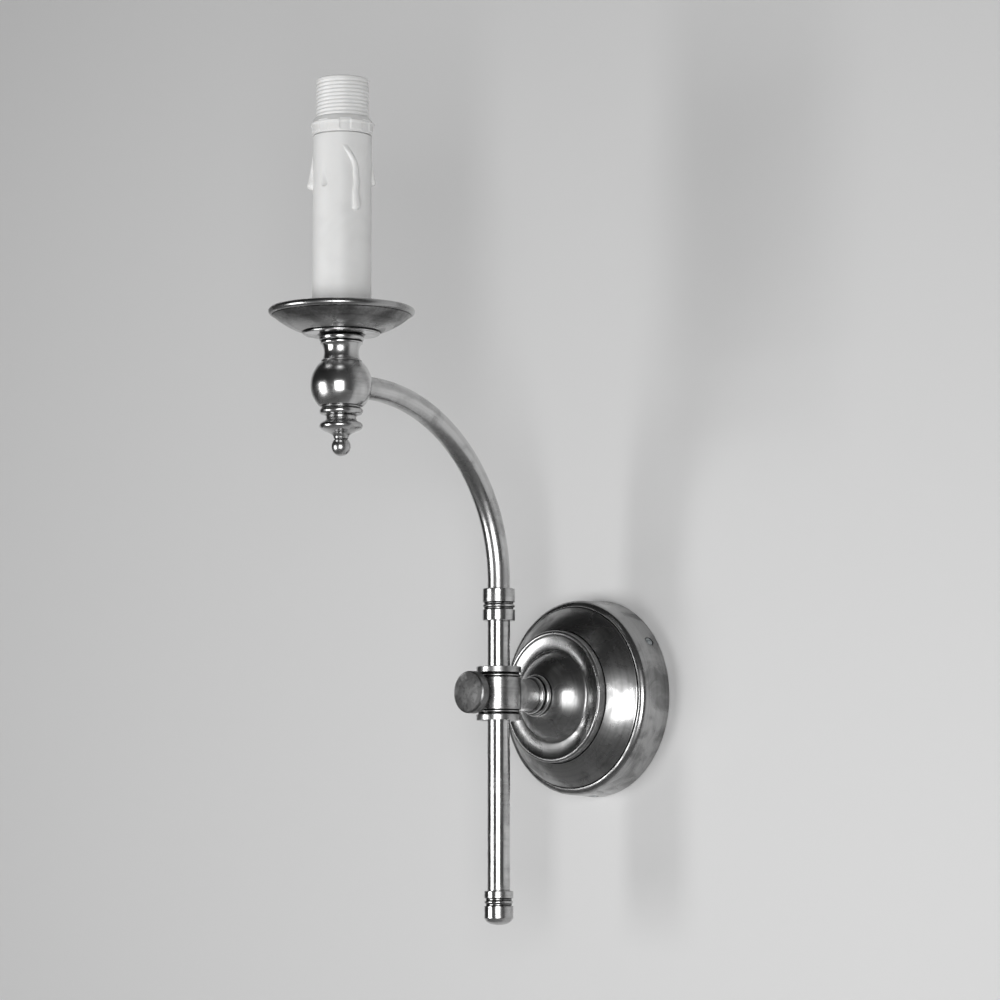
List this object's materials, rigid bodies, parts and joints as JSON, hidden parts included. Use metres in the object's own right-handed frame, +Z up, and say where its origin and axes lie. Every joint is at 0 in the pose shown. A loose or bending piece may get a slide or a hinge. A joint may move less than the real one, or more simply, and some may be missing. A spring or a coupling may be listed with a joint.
{
  "type": "swing arm wall sconce",
  "caption": "Wall light with a round backplate and a clamp for a rod that slides and swings, whose curved arm carries a candle-style lampholder over a drip pan.",
  "frame": {"origin": "on the wall, behind the middle of the backplate", "axes": "+Y into the wall, +Z up, +X to the right as seen from the room"},
  "size_m": [0.11, 0.2349, 0.4494],
  "materials": {
    "aged_silver": "silver-plated brass, polished and aged",
    "raw_brass": "unplated turned brass",
    "zinc_steel": "zinc-plated steel",
    "bronze": "phosphor bronze, bright",
    "candle_plastic": "moulded, satin, off-white",
    "holder_plastic": "moulded, satin, white",
    "terminal_plastic": "moulded, natural",
    "flex_sheath": "PVC flex"
  },
  "bodies": {
    "wall_assembly": {"backplate": "aged_silver", "wall_bracket": "zinc_steel", "side_screw_1": "zinc_steel", "side_screw_2": "zinc_steel", "side_screw_3": "zinc_steel", "centre_nipple": "raw_brass", "lock_washer": "zinc_steel", "lock_nut": "raw_brass", "collar": "aged_silver", "stub_tube": "aged_silver", "clamp_body": "aged_silver", "upper_bearing": "aged_silver", "lower_bearing": "aged_silver", "terminal_block": "terminal_plastic", "terminal_screw_1": "zinc_steel", "terminal_screw_2": "zinc_steel", "terminal_screw_3": "zinc_steel", "earth_screw": "raw_brass", "feed_lead": "flex_sheath", "earth_wire": "flex_sheath"},
    "clamp_pad": {"clamp_pad": "raw_brass"},
    "thumb_screw": {"thumb_screw_stud": "raw_brass", "thumb_knob": "aged_silver"},
    "bush": {"friction_bush": "bronze"},
    "arm": {"rod": "aged_silver", "ferrule": "aged_silver", "inner_coupling": "raw_brass", "rod_end_finial": "aged_silver", "arm_tube": "aged_silver", "ball": "aged_silver", "stem": "aged_silver", "pan_seat": "aged_silver", "drip_pan": "aged_silver", "candle_nipple": "raw_brass", "pan_nut": "raw_brass", "lower_turning": "aged_silver", "drop_finial": "aged_silver", "drop_stud": "zinc_steel", "candle_sleeve": "candle_plastic", "holder_cap": "holder_plastic", "holder_nut": "raw_brass", "holder_skirt": "holder_plastic", "holder_insert": "terminal_plastic", "screw_shell": "raw_brass", "centre_contact": "bronze", "arm_flex": "flex_sheath"},
    "shade_ring": {"shade_ring": "holder_plastic"}
  },
  "joints": [
    {"name": "arm_swing", "type": "hinge", "parent": "wall_assembly", "child": "bush", "pos_m": [0, -0.078, 0], "axis": [0, 0, 1], "range_deg": [-90, 90]},
    {"name": "arm_rise", "type": "slide", "parent": "bush", "child": "arm", "axis": [0, 0, 1], "range_m": [-0.025, 0.092]},
    {"name": "pad_travel", "type": "slide", "parent": "wall_assembly", "child": "clamp_pad", "axis": [0, -1, 0], "range_m": [0, 0.0026]},
    {"name": "thumb_screw_turn", "type": "hinge", "parent": "clamp_pad", "child": "thumb_screw", "pos_m": [0, -0.0895, 0], "axis": [0, -1, 0], "range_deg": [0, 900]},
    {"name": "shade_ring_travel", "type": "slide", "parent": "arm", "child": "shade_ring", "axis": [0, 0, 1], "range_m": [0, 0.019]}
  ],
  "couplings": [
    {"joint": "pad_travel", "follows": "thumb_screw_turn", "m_per_rad": 0.00015915}
  ]
}
